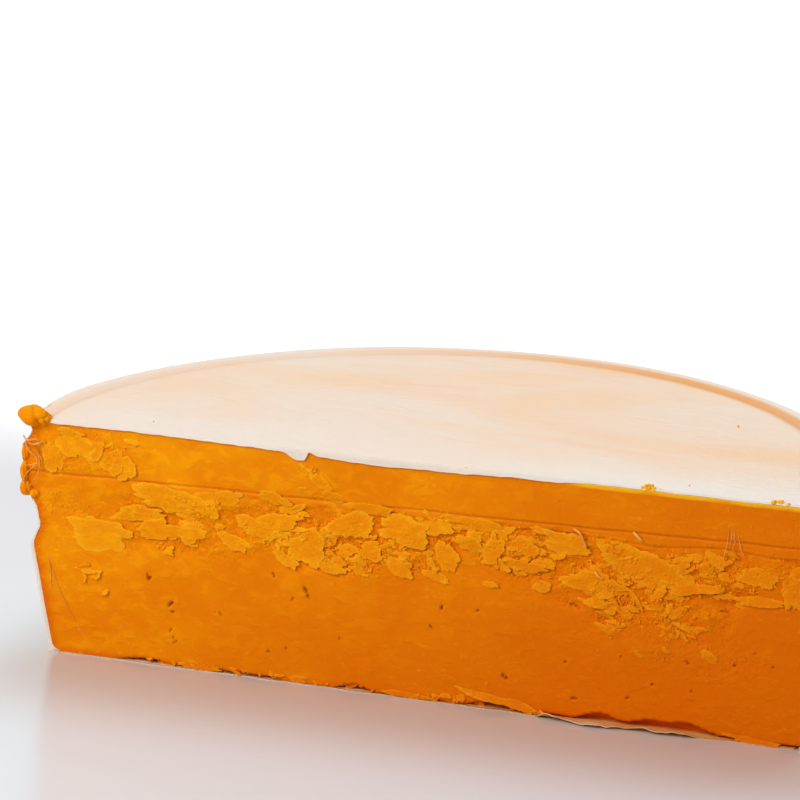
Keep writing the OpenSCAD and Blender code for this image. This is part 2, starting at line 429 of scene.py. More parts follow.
cheddar = Finish("cheddar")
deep, plain, pale = display(219, 95, 0), display(232, 130, 0), display(246, 158, 3)
# The darkest colour is painted shade for the slits; the brightest yellow serves both the specks and a
# painted highlight
painted_slit_shade, bright = display(168, 54, 0), display(250, 178, 30)
tear = cheddar.mark("torn")
height = cheddar.spread(cheddar.mark("raised"), -0.9, 1.2)
# Painted shade: the face is made deeper and redder towards the right end and towards the foot
painted_shade_right_and_foot = cheddar.spread(cheddar.along("X") + 1.8 * (0.05 - cheddar.along("Z")), -0.19, 0.20)
mottle = cheddar.spread(cheddar.cloud(30, 5.0, (0.8, 1, 1.2), 0.5), 0.40, 0.64)
flecks = cheddar.spread(cheddar.cloud(170, 5.0, (0.7, 1, 1.1), 0.6), 0.46, 0.66)
specks = cheddar.spread(cheddar.cloud(500, 4.0, (0.7, 1, 1.1), 0.3), 0.59, 0.70)
lively = 1.0 - 0.7 * painted_shade_right_and_foot
colour = cheddar.mix((mottle * 0.55 + flecks * 0.45) * lively, plain, pale)
# Painted shade towards the right end and the foot
colour = cheddar.mix(painted_shade_right_and_foot * 0.75, colour, deep)
colour = cheddar.mix(tear * (0.35 + 0.65 * height) * (0.40 + 0.55 * flecks) * (1.0 - 0.6 * painted_shade_right_and_foot),
                     colour, pale)
# Painted shade: low places of the torn stretch are mixed towards the deeper orange
colour = cheddar.mix(tear * (1 - height) * 0.25, colour, deep)
colour = cheddar.mix(cheddar.mark("rimmed") * 0.75, colour, deep)
colour = cheddar.mix(specks * lively * (0.08 + 0.3 * mottle + 0.3 * tear), colour, bright)
# Painted highlight: the top edge, and the rims of flakes and crumbs
colour = cheddar.mix(cheddar.mark("bright") * (1.0 - 0.5 * painted_shade_right_and_foot), colour, bright)
# Painted shade: the slits are mixed towards a dark red-brown, the shade inside them
colour = cheddar.mix(cheddar.mark("pit") * 0.85, colour, painted_slit_shade)
streaks = cheddar.cloud(70, 2.0, (0.10, 1, 9))
pores = cheddar.cloud(900, 3.0)
cheddar_skin = cheddar.close(
    pores * 0.4 + streaks * 0.05 + flecks * 0.4 + tear * pores * 1.0, 0.35 * mm, base_color=colour,
    roughness=0.36 + 0.22 * tear + 0.12 * mottle, specular_ior_level=0.035,
    subsurface_weight=0.35, subsurface_radius=(1.2, 0.8, 0.1), subsurface_scale=1 * mm)
curd.data.materials.append(cheddar_skin)
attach(curd, "root")
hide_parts("cheese")

# ---------------------------------------------------------------------------------------------
# The flakes: thin sheets of curd that the knife dragged loose and pressed back on the face. They
# are the same cheese, held by their own moisture, lifted at one side and ragged all round.
# ---------------------------------------------------------------------------------------------


def closed(rows, turns, count=1):
    """Faces of so many closed shapes, stored one after another: rows of points in rings of so many
    turns, each joined to the next row, then the poles that the first and last rows close to."""
    i, j = (g.ravel() for g in np.meshgrid(np.arange(turns), np.arange(rows - 1)))
    k = (i + 1) % turns
    quads = np.stack([j * turns + i, (j + 1) * turns + i, (j + 1) * turns + k, j * turns + k], -1)
    t, end, pole = np.arange(turns), (rows - 1) * turns, np.full(turns, rows * turns)
    fans = np.concatenate([np.stack([pole, t, (t + 1) % turns], -1),
                           np.stack([end + t, pole + 1, end + (t + 1) % turns], -1)])
    shift = np.arange(count)[:, None, None] * (rows * turns + 2)
    return [(quads + shift).reshape(-1, 4), (fans + shift).reshape(-1, 3)]


flake_sunk = 2.0                           # a flake's underside lies so many mm inside the face


def flakes(name, spots, rings, turns, seed, seated):
    """Closed sheets on the face: a flat top within a ragged outline, r = 1 + 0.38 n(cos, sin) with
    n a layered noise, tilted so that one side lies on the face and the other stands off it, and a
    smaller underside sunk into it. A spot is the place, half sizes, lean in degrees, how far the
    raised side stands off, and the direction of that side in degrees. Seated is how fully a sheet
    follows the hollow under its middle, 0 to 1."""
    at_x, at_z, half_x, half_z, lean, stand, rise = (c[:, None, None] for c in np.array(spots, float).T)
    rng = np.random.default_rng(seed)
    n = len(spots)
    own = rng.uniform(0, 40, (n, 1, 1))
    phi = np.linspace(0, 2 * np.pi, turns + 1)[:-1][None, None, :]
    outline = (1 + 0.38 * rough(1.3 * np.cos(phi) + own, 1.3 * np.sin(phi) + 2 * own, 1.0, seed, 4)
               + 0.05 * noise(phi * turns / 2 + 9 * own, 0 * phi + own, 1.0, seed + 9))
    outline = np.clip(outline, 0.3, 1.6)
    rho = np.concatenate([np.linspace(0.12, 0.9, rings - 2), [0.97, 1.0, 0.98, 0.9]])[None, :, None]
    a, b = half_x * outline * rho * np.cos(phi), half_z * outline * rho * np.sin(phi)
    c, s = np.cos(np.radians(lean)), np.sin(np.radians(lean))
    px, pz = (at_x + a * c - b * s) * mm, np.maximum(at_z + a * s + b * c, 0.1) * mm
    toward = np.cos(phi - np.radians(rise - lean)) * rho * outline
    over = (stand * (0.3 + 0.4 * toward) + 0.16 + 0.16 * rough(px, pz, 5 * mm, seed)
            - 0.12 * rho ** 10)
    under = np.concatenate([np.zeros(rings), [0.5, 1.0]])[None, :, None]
    out = over * (1 - under) - flake_sunk * under
    centre_x, centre_z = at_x * mm, at_z * mm
    hollow = (face_out(centre_x, centre_z) - swell(centre_x, centre_z)) / mm
    seat = np.clip(hollow, -2, 0) * seated
    py = cut_y - swell(px, pz) - mm * (out + seat)
    points = np.stack([px, py, pz], -1).reshape(n, -1, 3)
    poles = [points[:, ring].mean(1, keepdims=True) for ring in (slice(turns), slice(-turns, None))]
    points = np.concatenate([points, *poles], 1)
    rim = np.broadcast_to(rho ** 8, (n, rings + 2, turns)).reshape(n, -1)
    rim = np.concatenate([rim, np.zeros((n, 1)), np.ones((n, 1))], 1)
    # Painted highlight: the rims of the sheets get higher raised and bright marks, so they come out paler
    # and brighter
    raised = 0.1 + 0.9 * rim + rng.uniform(-0.3, 0.5, (n, 1))
    return make_piece(name, points.reshape(-1, 3), closed(rings + 2, turns, n),
                      {"torn": 0.45 + 0.4 * ease(0.3, 0.6, stand[:, 0]) + 0 * rim,
                       "raised": raised, "bright": 0.08 + 0.45 * rim + 0.1 * raised,
                       "rimmed": 0.8 * ease(5, 2, at_z[:, 0]) + 0 * rim}, sharp=35)


# The larger flakes, in mm and degrees, as flakes() takes them
main_flakes = [
    (-159.5, 83.5, 4.2, 7.4, 8, 1.2, -120), (-150, 90, 8.4, 5.2, -28, 1.2, -70),
    (-142, 89.5, 6.4, 4.0, 24, 1.0, -80), (-133, 85, 5.0, 5.6, 14, 1.2, -70),
    (-128, 83, 4.6, 4.6, -30, 1.3, -20), (-152, 94.5, 6.0, 2.0, -10, 0.9, 90),
    (-144, 37, 4.6, 1.2, -4, 1.5, -60), (-141, 35.4, 3.0, 1.8, 20, 1.5, -40),
    (-146, 38.4, 2.6, 0.9, 25, 1.2, 90), (-145.5, 34.6, 0.9, 2.4, 10, 1.2, -90),
    (-136.5, 28.5, 1.6, 1.0, 30, 1.4, -60), (-139, 54, 15, 7, -4, 0.3, 90),
    (-113, 58, 12, 5, 6, 0.35, 80), (-86, 75, 9, 3.4, 6, 0.5, 90), (-62, 77, 8, 2.6, -8, 0.6, 90),
    (-20, 78, 9, 2.4, -4, 0.5, 90), (8, 74, 7, 3.0, 8, 0.6, -60), (8, 53, 5, 2.2, -20, 0.7, -80),
    (-70, 64, 9.3, 4.6, -10, 0.7, -60), (-59, 68, 9.4, 3.2, 10, 0.6, -30),
    (-46, 60, 8.8, 8.0, 0, 0.7, -50), (-56, 52, 5.0, 2.4, -25, 1.0, -70),
    (-89, 68, 2.6, 4.0, 20, 0.9, 0), (-109, 71, 17, 5.8, -3, 0.6, 90), (-120, 64, 11, 3.6, 4, 0.6, 80),
    (-6, 70, 11.2, 6.2, -6, 1.2, -50), (-29, 70, 9.0, 6.2, 5, 0.7, -90),
    (-7, 55, 7.0, 3.2, -36, 0.9, -100), (13, 61, 4.6, 6.8, 8, 0.9, -30),
    (22, 68, 5.8, 2.8, -14, 1.0, 100), (32, 67, 4.8, 7.4, -16, 1.2, -20),
    (47, 62, 8.6, 2.0, -6, 0.7, 80), (31, 52.6, 3.8, 1.2, -3, 1.5, 0), (26, 77, 12, 2.4, -4, 0.5, 90),
    (96, 68, 18, 7.0, -14, 0.7, 95), (63, 74, 12, 4.6, -6, 0.5, 90), (116, 61, 11, 2.8, 4, 0.8, -80),
    (143, 70, 8.2, 4.2, -6, 1.0, -60), (156, 65, 5.0, 7.6, 10, 0.9, -100),
    (143, 59, 11, 2.0, 5, 0.9, -80), (120, 69, 3.0, 2.6, 25, 1.3, 60), (73, 59, 16, 4.6, -5, 0.6, 90),
    (-79, 57, 6.0, 3.2, -20, 0.9, -70), (-98, 58, 7.0, 3.4, 14, 0.7, -60),
    (45, 69, 5.5, 4.0, 10, 0.7, 0), (-38, 52, 7.0, 3.0, -12, 0.8, -80),
    (-20, 60, 5.0, 4.0, 30, 0.7, -40), (-41, 86, 4.6, 2.8, -30, 0.7, 60),
    (-36, 81, 5.0, 2.0, -10, 0.7, 90), (-49, 82, 3.0, 1.6, 10, 0.7, 120),
    (35, 4.2, 19, 1.7, -8, 1.2, -90), (44, 3.0, 7, 2.0, -14, 1.6, -60),
    (-95, 1.6, 9, 1.4, 0, 0.7, -90), (-5, 1.8, 12, 1.4, -3, 0.8, -90),
    (140, 1.4, 12, 1.2, -5, 0.8, -90)]
rng = np.random.default_rng(5)
tried = 9000
spot_x, spot_z = rng.uniform(-0.138, 0.172, tried), rng.uniform(0.022, 0.095, tried)
likely = torn(spot_x, spot_z) * ease(-0.8, 0.8, rough(spot_x, spot_z, 16 * mm, 61))
kept = likely > rng.uniform(0.15, 1, tried)
on_tear, at_foot = 620, 60                 # small flakes on the torn stretch, and along the foot
foot_x, foot_z = rng.uniform(-0.12, 0.052, at_foot), rng.uniform(0.0008, 0.0032, at_foot)
spot_x = np.append(spot_x[kept][:on_tear], foot_x)
spot_z = np.append(spot_z[kept][:on_tear], foot_z)
many = len(spot_x)
size = 0.5 + 3.0 * rng.power(0.35, many)
small_flakes = np.stack([
    spot_x / mm, spot_z / mm, size * rng.uniform(0.8, 1.9, many), size * rng.uniform(0.3, 0.8, many),
    rng.normal(-8, 26, many), rng.uniform(0.3, 1.1, many), rng.normal(-60, 60, many)], -1)
flake_skin = cheddar_skin.copy()           # the sheets are too thin for light to scatter in them
flake_skin.name = "cheddar flakes"
flake_skin.node_tree.nodes["Principled BSDF"].inputs["Subsurface Weight"].default_value = 0
for name, spots, rings, turns, seed, seated in (("flakes", main_flakes, 8, 96, 9, 0.15),
                                                ("small_flakes", small_flakes, 4, 20, 10, 0.7)):
    loose = flakes(name, spots, rings, turns, seed, seated)
    loose.data.materials.append(flake_skin)
    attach(loose, "root")

# ---------------------------------------------------------------------------------------------
# The crumbs: grains of curd broken off by the knife, caught on the torn stretch, along the knife
# line and here and there on the smooth face and on the top edge.
# ---------------------------------------------------------------------------------------------


def ball(rings, turns):
    """Points of a ball of radius 1: rings of so many turns from the top down, then its poles."""
    tilt = np.linspace(0, np.pi, rings + 2)[1:-1][:, None]
    spin = np.linspace(0, 2 * np.pi, turns + 1)[:-1][None]
    points = np.stack([np.sin(tilt) * np.cos(spin), np.sin(tilt) * np.sin(spin),
                       np.cos(tilt) + 0 * spin], -1)
    return np.concatenate([points.reshape(-1, 3), [[0, 0, 1], [0, 0, -1]]])


def grains(middles, sizes, seed, rings=3, turns=6):
    """Closed uneven grains: each point of a ball pushed in or out at random, and the ball squashed
    differently along X, Y and Z."""
    rng = np.random.default_rng(seed)
    n, smooth = len(middles), ball(rings, turns)
    points = smooth * rng.uniform(0.6, 1.15, (n, len(smooth), 1)) * rng.uniform(0.6, 1.3, (n, 1, 3))
    points = points * sizes[:, None, None] + middles[:, None]
    return points.reshape(-1, 3), closed(rings, turns, n)


rng = np.random.default_rng(15)
tried, most = 30000, 3000
crumb_x, crumb_z = rng.uniform(-0.165, 0.172, tried), rng.uniform(0.004, 0.098, tried)
on_line = hump(0, 1.2 * mm, knife_line(crumb_x) - 1.2 * mm - crumb_z) * ease(-0.13, -0.05, crumb_x)
clumped = ease(-0.5, 0.8, rough(crumb_x, crumb_z, 16 * mm, 61))
likely = 0.55 * torn(crumb_x, crumb_z) * clumped + 0.4 * on_line + 0.014
kept = rng.uniform(0, 1, tried) < likely
crumb_x, crumb_z = crumb_x[kept][:most], crumb_z[kept][:most]
sizes = (mm * (0.14 + 0.50 * rng.power(0.4, len(crumb_x)))
         * (0.55 + 0.45 * ease(0.1, 0.4, torn(crumb_x, crumb_z))))
crumb_y = cut_y - face_out(crumb_x, crumb_z) - 0.35 * sizes
# Crumbs on the top edge, in mm: place along the cut, place behind it, height over the top, size
on_edge = np.array([[96, 0.6, 0.4, 1.5], [97.2, 1.0, 0.1, 1.4], [94.9, 0.4, 0.0, 1.3],
                    [96.2, 0.0, -0.6, 1.5], [98.2, 0.3, -0.4, 1.2], [93.7, 0.3, -0.5, 1.0],
                    [101, 0.6, -0.6, 0.9], [147, 0.4, 0, 1.3], [150, 0.8, -0.2, 1.6],
                    [153, 0.3, -0.4, 1.1], [20, 0.5, -0.6, 0.8], [-120, 12, 0, 0.5],
                    [110, 9, 0, 0.6], [103, 98, 0, 0.7]]) * mm
middles = np.concatenate([np.stack([crumb_x, crumb_y, crumb_z], -1),
                          on_edge[:, :3] + [0, cut_y, wheel_height]])
points, faces = grains(middles, np.append(sizes, on_edge[:, 3]), 16)
# Painted highlight: every crumb is made brighter, and those on the top edge most
lit = np.append(np.full(len(sizes), 0.6), np.full(len(on_edge), 1.8))
crumbs = make_piece("crumbs", points, faces,
                    {"torn": np.full(len(points), 0.8), "raised": np.ones(len(points)),
                     "bright": np.repeat(lit, len(points) // len(lit))}, sharp=35)
crumbs.data.materials.append(flake_skin)
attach(crumbs, "root")

# ---------------------------------------------------------------------------------------------
# The squeezed lump: soft curd that the knife pushed out over the broken corner, a rounded, folded
# blob on top and smaller ones under it, all of one piece with the wheel.
# ---------------------------------------------------------------------------------------------

# Each blob's place along the cut and height, and its half sizes along X, Y and Z, in mm
blobs = [(-168.2, 100.6, 6.6, 4.2, 4.3), (-163.2, 99.6, 3.0, 3.0, 2.6), (-172.0, 84.6, 1.7, 1.4, 3.2),
         (-172.6, 76.0, 1.9, 1.6, 4.4), (-171.8, 69.4, 2.6, 2.2, 3.4), (-168.2, 67.6, 2.4, 1.6, 1.8)]
blob_rings, blob_turns = 23, 36
smooth = ball(blob_rings, blob_turns)
points = []
for n, (at_x, at_z, half_x, half_y, half_z) in enumerate(blobs):
    uneven = 0.10 * rough(smooth[:, 0] + n, smooth[:, 2] + smooth[:, 1], 1.1, 90 + n, 3)
    crack = 0.25 * hump(0, 0.16, smooth[:, 0] - 0.45 + 0.3 * smooth[:, 2]) * ease(0, -0.5, smooth[:, 1])
    blob = smooth * (1 + uneven - crack)[:, None] * [half_x, half_y, half_z]
    points.append((blob + [at_x, 0, at_z]) * mm + [0, cut_y, 0])
points = np.concatenate(points)
lump = make_piece("squeezed_lump", points, closed(blob_rings, blob_turns, len(blobs)),
                  {"torn": np.full(len(points), 0.5), "raised": np.full(len(points), 0.6)})
lump.data.materials.append(cheddar_skin)
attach(lump, "root")

# ---------------------------------------------------------------------------------------------
# The top cloth: a round of fine muslin, dipped in pale wax and cut through with the cheese. It
# lies on the top, tucked under the bandage at the rim, and its cut edge hangs a little over the
# face, with one fold.
# ---------------------------------------------------------------------------------------------

crease_inset = 12 * mm


def shell(outer, inner):
    """Faces of a closed sheet from two grids of the same shape: the outside, the inside turned
    over, and strips round all four edges."""
    rows, columns = outer.shape[:2]
    n = rows * columns
    a = np.arange(n).reshape(rows, columns)
    loops = [a[0, ::-1], a[-1], a[:, 0], a[::-1, -1]]
    strips = [np.stack([e[:-1], e[1:], e[1:] + n, e[:-1] + n], -1)[:, ::-1] for e in loops]
    points = np.concatenate([outer.reshape(-1, 3), inner.reshape(-1, 3)])
    return points, [grid(rows, columns), grid(rows, columns, n, turned=True), *strips]


def hang(x):
    """How far the cut edge of the top cloth hangs down the face, in metres."""
    fold = 3.6 * ease(-60, -51, x / mm) * ease(-46.5, -48.5, x / mm)
    slack = 1.7 * ease(-47, -42, x / mm) * ease(40, -5, x / mm)
    uneven = 0.35 * noise(x, x * 0, 14 * mm, 71) + 0.2 * noise(x, x * 0, 4 * mm, 72)
    return mm * (0.75 + fold + slack + uneven) * (1 - 0.9 * ease(56, 76, x / mm))


top_edge = wheel_radius - rim_draw - rim_round - 2 * mm
cloth_columns, drop_rows = 380, 8          # the drop is the part that hangs over the face
x = np.linspace(-top_edge, top_edge, cloth_columns + 1) * 0.9995
deepest = centre_behind + np.sqrt(top_edge ** 2 - x ** 2)
flat_rows = np.concatenate([np.linspace(0, 0.1, 12)[:-1], np.linspace(0.1, 1, 62)])
x, flat = np.meshgrid(x, flat_rows)
y = flat * deepest[None]
inset = wheel_radius - rim_draw - np.hypot(x, y - centre_behind)
crease = ease(crease_inset + 5 * mm, crease_inset + 1 * mm, inset)
wrinkle = (0.22 * rough(x, y, 45 * mm, 73) + 0.10 * rough(x * 0.5 + y, y * 0.4 - x, 9 * mm, 75)
           + 0.5 * hump(-50 * mm - 0.9 * y, 3 * mm + 0.1 * y, x) * ease(18 * mm, 2 * mm, y)
           + 0.35 * rough(x + 2 * y, y - 0.4 * x, 6 * mm, 76) * hump(-62 * mm, 26 * mm, x)
           * ease(16 * mm, 3 * mm, y))
z = (wheel_height - 0.25 * mm + mm * np.minimum(wrinkle, 0.25) * (1 - crease)
     - 0.15 * mm * crease)
drop = np.linspace(1, 0, drop_rows + 1)[:-1][:, None]
edge_x = np.broadcast_to(x[0], (drop_rows, cloth_columns + 1))
front = (0.35 * mm + np.maximum(face_out(x[0], 0 * x[0] + wheel_height - 2 * mm), 0)
         - 1.1 * mm * ease(56 * mm, 76 * mm, x[0]))
curl = np.sin(np.clip(drop * 3, 0, 1) * np.pi / 2)
edge_y = -(front[None] + 0.5 * mm * (drop > 0.3) * drop) * curl
edge_z = z[:1] - (hang(edge_x) + 0.6 * mm) * drop
x, y, z = (np.concatenate(pair) for pair in ((edge_x, x), (edge_y, y), (edge_z, z)))
outer = np.stack([x, cut_y + y, z], -1)
lying = np.concatenate([np.zeros(drop_rows), np.ones(len(flat_rows))])[:, None]
inner = outer + np.stack([0 * x, (1 - lying) * 0.5 * mm + 0 * x, -lying * rind_thickness + 0 * x], -1)
points, faces = shell(outer, inner)
top_cloth = make_piece("top_cloth", points, faces,
                       {"crease": np.tile(np.concatenate([0 * edge_x, crease]).ravel(), 2),
                        "from_cut": np.tile(np.clip(y / mm, -1, 200).ravel(), 2)})

cloth = Finish("waxed muslin")
white, peach, amber = display(238, 222, 210), display(243, 198, 160), display(230, 158, 86)
patches = cloth.spread(cloth.cloud(10, 4.0, (0.7, 1.3, 1), 0.7), 0.28, 0.68)
near_cut = cloth.spread(cloth.mark("from_cut") + 44 * (cloth.cloud(9, 2.0) - 0.5), 48, 6)
along_cut = cloth.along("X")
tint = cloth.mix(0.35 + patches * 0.65, white, peach)
tint = cloth.mix(near_cut * (0.55 + 0.4 * cloth.spread(along_cut, -0.05, 0.10)), tint, white)
# The amber tone is partly the curd's orange through the thin film at the crease and partly painted shade
# in the fold, stronger towards the right; on the base cloth it is painted shade under the curd
tint = cloth.mix(cloth.mark("crease") * (0.25 + 0.75 * cloth.spread(along_cut, -0.10, 0.08)),
                 tint, amber)
warp, weft = (cloth.add("ShaderNodeTexWave", {"bands_direction": way},
                        {"Vector": cloth.place, "Scale": 420.0, "Distortion": 1.5}, "Fac")
              for way in "XY")
creases = cloth.cloud(55, 5.0, (0.5, 1, 1), 2.5)
cloth_skin = cloth.close(
    (warp + weft) * 0.10 + creases * 1.5, 0.5 * mm, base_color=tint, roughness=0.28 + 0.25 * patches,
    specular_ior_level=0.16, coat_weight=0.04, coat_roughness=0.18, subsurface_weight=0.35,
    subsurface_radius=(3.0, 1.6, 0.9), subsurface_scale=1 * mm)
top_cloth.data.materials.append(cloth_skin)
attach(top_cloth, "root")

# ---------------------------------------------------------------------------------------------
# The side bandage: a strip of the same waxed muslin wound round the wall, turned over the rim as
# a soft raised band and tucked under the foot. It was cut with the cheese, so it shows as a thin
# pale edge at both ends of the face.
# ---------------------------------------------------------------------------------------------

band_columns = 400
rim = wheel_radius - rim_draw
foot_quarter, rim_quarter = quarter[:-1], np.linspace(0, np.pi / 2, 9)[1:]
tucked = 9 * mm                            # the strip runs in under the foot this far
wall_rows = 44
path_inset = np.concatenate([
    [foot_round + tucked], foot_round * (1 - np.sin(foot_quarter)), np.zeros(wall_rows),
    rim_round * (1 - np.cos(rim_quarter)), np.linspace(rim_round, crease_inset, 7)[1:-1],
    crease_inset + np.array([0.3, 1.2, 2.2, 3.0]) * mm])
path_z = np.concatenate([
    [0.02 * mm], foot_round * (1 - np.cos(foot_quarter)),
    np.linspace(foot_round, wheel_height - rim_round, wall_rows),
    wheel_height - rim_round * (1 - np.sin(rim_quarter)), np.full(5, wheel_height),
    wheel_height - np.array([0.03, 0.22, 0.50, 0.75]) * mm])
step_inset, step_z = np.gradient(path_inset), np.gradient(path_z)
length = np.hypot(step_inset, step_z)
lean_in, lean_up = step_z / length, -step_inset / length
z, along = np.meshgrid(path_z, np.linspace(0, 1, band_columns + 1), indexing="ij")
turn = np.pi + past_half - (np.pi + 2 * past_half) * along
from_corner = np.maximum(np.pi - turn, 0) * wheel_radius


def band(offset):
    """The bandage's surface, so far inside its outer one: the profile's path carried round the
    wheel, with the wall's own unevenness and small puckers."""
    path_r = path_inset + offset * lean_in
    raise_z = path_z + offset * lean_up
    level = np.clip(z, 0, wheel_height)
    plain_wall = wall_radius(level, turn) + turn_in(level)
    pucker = 0.10 * mm * rough(turn * wheel_radius, level, 12 * mm, 81)
    r = plain_wall - path_r[:, None] - np.abs(pucker)
    swollen = 0.8 * mm * hump(0, 30 * mm, from_corner) * ease(50 * mm, 44 * mm, z)
    r = r + swollen * (offset == 0)
    worn = 0.6 * corner_wear * hump(0, corner_length, from_corner)
    r = np.where(path_inset[:, None] > rim_round, r - plain_wall + rim - worn, r)
    y = centre_behind + r * np.sin(turn)
    ends = np.minimum(along, 1 - along) == 0
    torn_end = 3.5 * mm * ease(62 * mm, 68 * mm, z) * (along == 0)
    y = np.where(ends, torn_end - 0.2 * mm - 0.2 * mm * noise(z, z * 0, 9 * mm, 82), y)
    return np.stack([r * np.cos(turn), cut_y + y, raise_z[:, None] + 0 * r], -1)


points, faces = shell(band(0 * mm)[:, ::-1], band(rind_thickness)[:, ::-1])
# Painted shade in the fold, with the curd's orange through the thin film: the bandage's top near its inner
# edge takes the amber tone
on_top = (path_z > wheel_height - 2 * mm) * ease(5.5 * mm, crease_inset - 2 * mm, path_inset)
fold_shade = np.tile((on_top[:, None] * np.ones_like(along)).ravel(), 2)
bandage = make_piece("side_bandage", points, faces,
                     {"crease": fold_shade, "from_cut": np.full(len(points), 18.0)}, sharp=50)
bandage.data.materials.append(cloth_skin)
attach(bandage, "root")

# ---------------------------------------------------------------------------------------------
# The base cloth: the muslin round under the wheel. Its cut edge shows as a pale line under the
# face and sticks out as a torn, wavy tongue where the bottom edge of the curd is bitten away.
# ---------------------------------------------------------------------------------------------

base_edge = wheel_radius - foot_draw - corner_wear - 2.3 * mm
base_columns = 320
x = np.linspace(-base_edge, base_edge, base_columns + 1) * 0.9995
deepest = centre_behind + np.sqrt(base_edge ** 2 - x ** 2)
tongue = (5.6 * hump(76 * mm, 14 * mm, x) + 4.0 * hump(106 * mm, 13 * mm, x)
          + 2.4 * hump(58 * mm, 5 * mm, x) + 0.7
          + 0.5 * noise(x, x * 0, 6 * mm, 83) + 0.35 * noise(x, x * 0, 2 * mm, 84))
tongue = np.minimum(tongue, 6.4)
flat_rows = np.concatenate([np.linspace(0, 0.1, 14)[:-1], np.linspace(0.1, 1, 24)])
x, flat = np.meshgrid(x, flat_rows)
front = -mm * tongue[None] * ease(base_edge, base_edge - 8 * mm, np.abs(x))
y = front + flat * (deepest[None] - front)
lift = (mm * (1.5 + 0.9 * noise(x, y * 0, 8 * mm, 85) + 0.4 * noise(x, y * 0, 2.5 * mm, 86))
        * ease(1 * mm, -5 * mm, y) * ease(1, 4, tongue)[None])
base_top, base_under = 0.5 * mm, 0.02 * mm
outer = np.stack([x, cut_y + y, lift + base_top], -1)
points, faces = shell(outer, outer - [0, 0, base_top - base_under])
# Painted shade: the base cloth takes the amber tone under the curd and stays pale only where the tongue
# sticks out in front
shaded = np.clip(1.1 - 0.9 * ease(-3.6 * mm, -5.2 * mm, y), 0, 1)
base_cloth = make_piece("base_cloth", points, faces,
                        {"crease": np.tile(shaded.ravel(), 2), "from_cut": np.full(len(points), 40.0)})
base_cloth.data.materials.append(cloth_skin)
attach(base_cloth, "root")

# ---------------------------------------------------------------------------------------------
# Loose threads and shreds: muslin threads pulled out at both ends of the cut by the knife, and
# small curled shreds of the waxed cloth stuck to the torn curd.
# ---------------------------------------------------------------------------------------------


def tube(points, radius, sides=6):
    """A tube along a smooth curve through the points (Catmull-Rom), tapering at both ends: a ring
    of sides about each step of the curve, and a point at each end. A wide one is a flat shred."""
    p = np.array(points, float) * mm
    p = np.concatenate([2 * p[:1] - p[1:2], p, 2 * p[-1:] - p[-2:-1]])
    t = np.linspace(0, 1, 9)[:-1][:, None]
    bits = [0.5 * (2 * b + (c - a) * t + (2 * a - 5 * b + 4 * c - d) * t ** 2
                   + (3 * b - a - 3 * c + d) * t ** 3)
            for a, b, c, d in zip(p, p[1:], p[2:], p[3:])]
    line = np.concatenate([*bits, p[-2:-1]])
    way = np.gradient(line, axis=0)
    way /= np.linalg.norm(way, axis=1)[:, None]
    across = np.cross(way, [0.0, 1.0, 0.0])
    across /= np.linalg.norm(across, axis=1)[:, None]
    other = np.cross(across, way)
    spin = np.linspace(0, 2 * np.pi, sides + 1)[:-1][None, :, None]
    slim = np.sin(np.linspace(0.25, np.pi - 0.25, len(line))) ** 0.35
    flat = 0.3 if radius > 0.3 else 1.0
    rings = line[:, None] + radius * mm * slim[:, None, None] * (
        across[:, None] * np.cos(spin) + flat * other[:, None] * np.sin(spin))
    faces = [np.roll(part[:, ::-1], 1, axis=1) for part in closed(len(line), sides)]
    return np.concatenate([rings.reshape(-1, 3), line[:1], line[-1:]]), faces


# Each strand's points in mm, with Y from the cut, and its radius
strands = [
    ([(-171.5, -1, 90), (-170, -1.8, 86), (-166.5, -2.4, 84), (-166, -2.2, 81), (-172.5, -1.6, 79)], 0.24),
    ([(-172, -0.8, 89), (-168.5, -2, 85), (-166, -1.8, 81.5), (-171.5, -2, 75), (-171.5, -1.4, 69)], 0.22),
    ([(-169, -1.0, 89), (-165.4, -1.9, 84), (-165, -2.2, 78), (-170, -1.4, 70)], 0.20),
    ([(-167.5, -1.0, 88), (-164.0, -1.6, 82), (-164.6, -1.6, 77)], 0.16),
    ([(-172.5, -1.2, 92), (-170, -2.2, 90.4), (-166, -2.0, 91), (-164.5, -1.2, 89)], 0.5),
    ([(-171, -1.2, 90), (-168, -2.6, 89), (-165, -2.2, 89.6), (-162.8, -1.2, 91)], 0.45),
    ([(-162.4, -0.15, 41), (-157, -0.2, 27), (-150, -0.2, 14), (-145.5, -0.1, 6.6)], 0.16),
    ([(-161.8, -0.15, 40), (-160.8, -0.2, 33), (-161.0, -0.1, 26)], 0.14),
    ([(129.6, -0.5, 91), (129.4, -1.2, 83), (127.6, -0.8, 75)], 0.13),
    ([(131.2, -0.5, 91.5), (132.2, -1.1, 83), (131.4, -1.4, 80), (133, -0.8, 73)], 0.14),
    ([(132.6, -0.5, 90), (134, -1.0, 83), (135, -1.1, 79), (136, -0.7, 77)], 0.13),
    ([(130.4, -0.5, 90), (130.8, -0.9, 84), (129.8, -1.0, 79)], 0.12),
    ([(66, -1.0, 80), (68.8, -1.8, 78.6), (70.4, -1.8, 75.6), (71.4, -1.0, 72.4)], 0.55),
    ([(90.6, -0.9, 81.6), (92.6, -1.5, 80), (94.6, -0.9, 78)], 0.6),
    ([(75, -0.9, 63.6), (76.4, -1.4, 62), (78, -0.9, 60.8)], 0.5),
    ([(53, -0.4, 2.4), (55.6, -2.0, 1.6), (58.6, -0.8, 1.0)], 0.6),
]
points, faces, count = [], [], 0
for line, radius in strands:
    ring_points, parts = tube(np.array(line) + [0, cut_y / mm, 0], radius)
    points.append(ring_points)
    faces += [part + count for part in parts]
    count += len(ring_points)
threads = make_piece("threads", np.concatenate(points), faces)
fibre = Finish("cotton thread")
